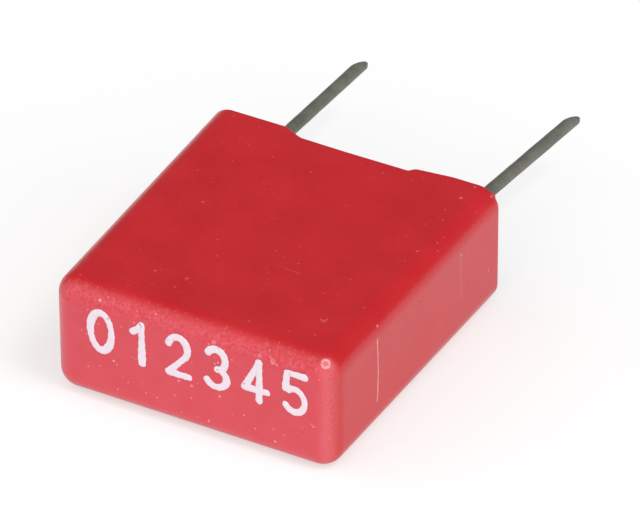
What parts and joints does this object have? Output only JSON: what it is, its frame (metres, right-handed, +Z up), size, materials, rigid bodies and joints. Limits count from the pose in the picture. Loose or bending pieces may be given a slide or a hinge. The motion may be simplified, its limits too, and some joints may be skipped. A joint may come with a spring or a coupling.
{
  "type": "box film capacitor",
  "caption": "Small red box film capacitor: moulded case with stand-off feet, resin seal and two wire leads at 5 mm pitch, lying on its broad side.",
  "frame": {"origin": "middle of the broad wall that the case lies on, halfway between the printed face and the feet", "axes": "+Z up, through the thickness of the case; +X along the row of leads; +Y the way the leads point, so the printed face looks to -Y"},
  "size_m": [0.0072, 0.0129, 0.003],
  "materials": {
    "case": "moulded red thermoplastic, satin",
    "resin": "poured red epoxy resin, glossy",
    "metallized_film": "pressed roll of metallized polyester film",
    "sprayed_metal": "rough sprayed zinc",
    "tinned_wire": "tinned, slightly dull"
  },
  "bodies": {
    "root": {"case": "case", "resin_seal": "resin", "film_winding": "metallized_film", "end_spray_left": "sprayed_metal", "end_spray_right": "sprayed_metal", "lead_left": "tinned_wire", "lead_right": "tinned_wire"}
  },
  "joints": []
}
